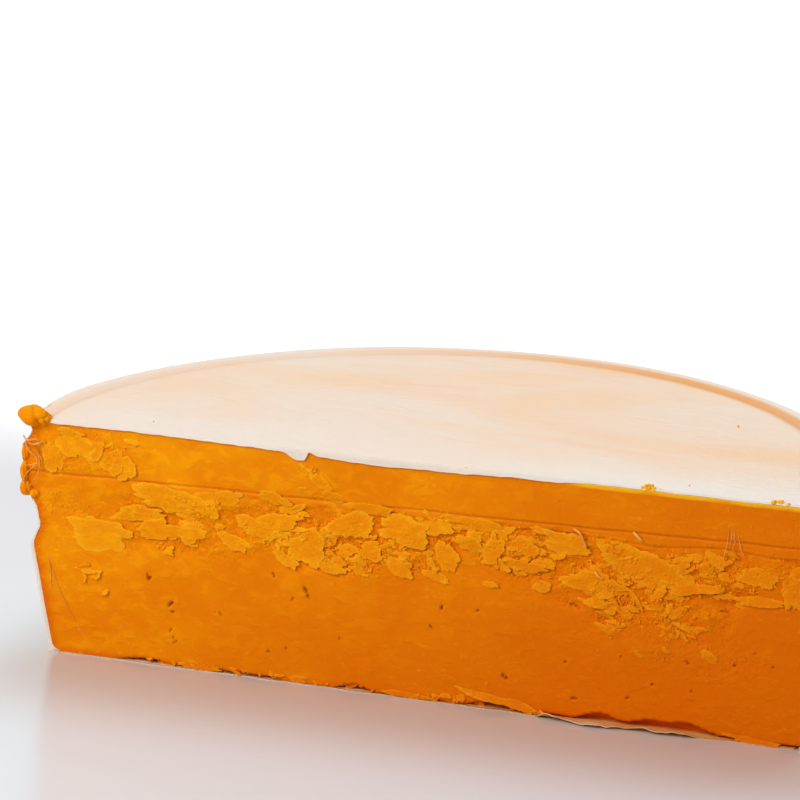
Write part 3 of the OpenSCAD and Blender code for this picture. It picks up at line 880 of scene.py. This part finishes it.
fibre_shade = fibre.mix(fibre.spread(fibre.cloud(200, 2.0), 0.4, 0.6),
                        display(232, 140, 46), display(240, 168, 84))
thread_skin = fibre.close(None, 0, base_color=fibre_shade, roughness=0.6, specular_ior_level=0.08)
threads.data.materials.append(thread_skin)
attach(threads, "root")

# ---------------------------------------------------------------------------------------------
# The table and the light: a glossy pale table top that fades into a white surround, a large soft
# lamp high on the left, and a broad one behind.
# ---------------------------------------------------------------------------------------------

table_radius, table_sides = 3.0, 96
ring = np.linspace(0, 2 * np.pi, table_sides + 1)[:-1]
top = np.stack([table_radius * np.cos(ring), table_radius * np.sin(ring), 0 * ring], -1)
table = make_piece("table", top, [np.arange(table_sides)[None, :]])
table_top = Finish("pale table")
depth, aside = table_top.along("Y"), table_top.along("X")
# Painted light: far behind the cheese the table glows, from 0.12 m and fully past 0.36 m, so that it fades
# into the white surround
surround = table_top.spread(depth, 0.12, 0.36)
behind = table_top.spread(depth, float(cut_y) + 0.01, 0.06)
# Painted shadow and painted orange bounce light: the table just in front of the block is mixed towards a
# darker warm grey
near = (table_top.spread(depth, float(cut_y) - 0.10, float(cut_y) - 0.005)
        * table_top.spread(aside, -0.20, -0.145) * table_top.spread(aside, 0.34, 0.24))
front_with_painted_shade = table_top.mix(near * 0.85, display(214, 220, 224), display(190, 177, 165))
table_skin = table_top.close(
    None, 0, base_color=table_top.mix(behind, front_with_painted_shade, display(217, 217, 221)),
    roughness=0.2, ior=1.6, specular_ior_level=0.5,
    emission_color=table_top.mix(surround, (0, 0, 0), (0.6, 0.6, 0.6)), emission_strength=1.0)
table.data.materials.append(table_skin)


def lamp(name, azimuth, elevation, away, size, watts):
    """A square lamp on a sphere round the cheese, facing its middle."""
    a, e = math.radians(azimuth), math.radians(elevation)
    back = Vector((math.sin(a) * math.cos(e), -math.cos(a) * math.cos(e), math.sin(e)))
    light = bpy.data.lights.new(name, "AREA")
    light.size, light.energy = size, watts
    holder = bpy.data.objects.new(name, light)
    holder.location = away * back
    holder.rotation_euler = (-back).to_track_quat("-Z", "Y").to_euler()
    bpy.context.scene.collection.objects.link(holder)


lamp("key lamp", -35, 40, 1.75, 0.9, 19.0)
lamp("back lamp", 160, 55, 1.3, 0.9, 5)
world = bpy.data.worlds.new("white surround")
world.use_nodes = True
sky = world.node_tree
seen, plain_light, choose, mirrored = (
    sky.nodes.new("ShaderNode" + kind) for kind in ("LightPath", "Background", "MixShader", "Math"))
glow = sky.nodes["Background"]
glow.inputs["Color"].default_value = (1, 1, 1, 1)
plain_light.inputs["Color"].default_value = (0.97, 0.98, 1, 1)
plain_light.inputs["Strength"].default_value = 0.48
mirrored.operation = "MAXIMUM"
# The camera and the glossy surfaces see the surround white, and the rest gets half its light
sky.links.new(seen.outputs["Is Camera Ray"], mirrored.inputs[0])
sky.links.new(seen.outputs["Is Glossy Ray"], mirrored.inputs[1])
sky.links.new(mirrored.outputs[0], choose.inputs[0])
sky.links.new(plain_light.outputs[0], choose.inputs[1])
sky.links.new(glow.outputs[0], choose.inputs[2])
sky.links.new(choose.outputs[0], sky.nodes["World Output"].inputs["Surface"])
bpy.context.scene.world = world
bpy.context.scene.view_settings.view_transform = "Standard"

# ---------------------------------------------------------------------------------------------
# The camera: a long lens two metres off, to the right of the cut's front and a little above it,
# rolled slightly, and aimed so that the wheel fills the lower half of the view.
# ---------------------------------------------------------------------------------------------

azimuth, elevation, roll = math.radians(20.44), math.radians(15.58), math.radians(-0.67)
distance, aside, above = 2.004, -7.7 * mm, 72.5 * mm
camera_data = bpy.data.cameras.new("camera")
camera_data.lens, camera_data.sensor_width = 225, 36
camera = bpy.data.objects.new("camera", camera_data)
bpy.context.scene.collection.objects.link(camera)
back = np.array([math.sin(azimuth) * math.cos(elevation), -math.cos(azimuth) * math.cos(elevation),
                 math.sin(elevation)])
right = np.array([math.cos(azimuth), math.sin(azimuth), 0])
up = np.cross(back, right)
target = np.array([0, cut_y, wheel_height / 2]) + right * aside + up * above
camera.location = target + back * distance
turned_right = math.cos(roll) * right - math.sin(roll) * up
turned_up = math.sin(roll) * right + math.cos(roll) * up
camera.rotation_euler = Matrix(np.stack([turned_right, turned_up, back], -1).tolist()).to_euler()
bpy.context.scene.camera = camera
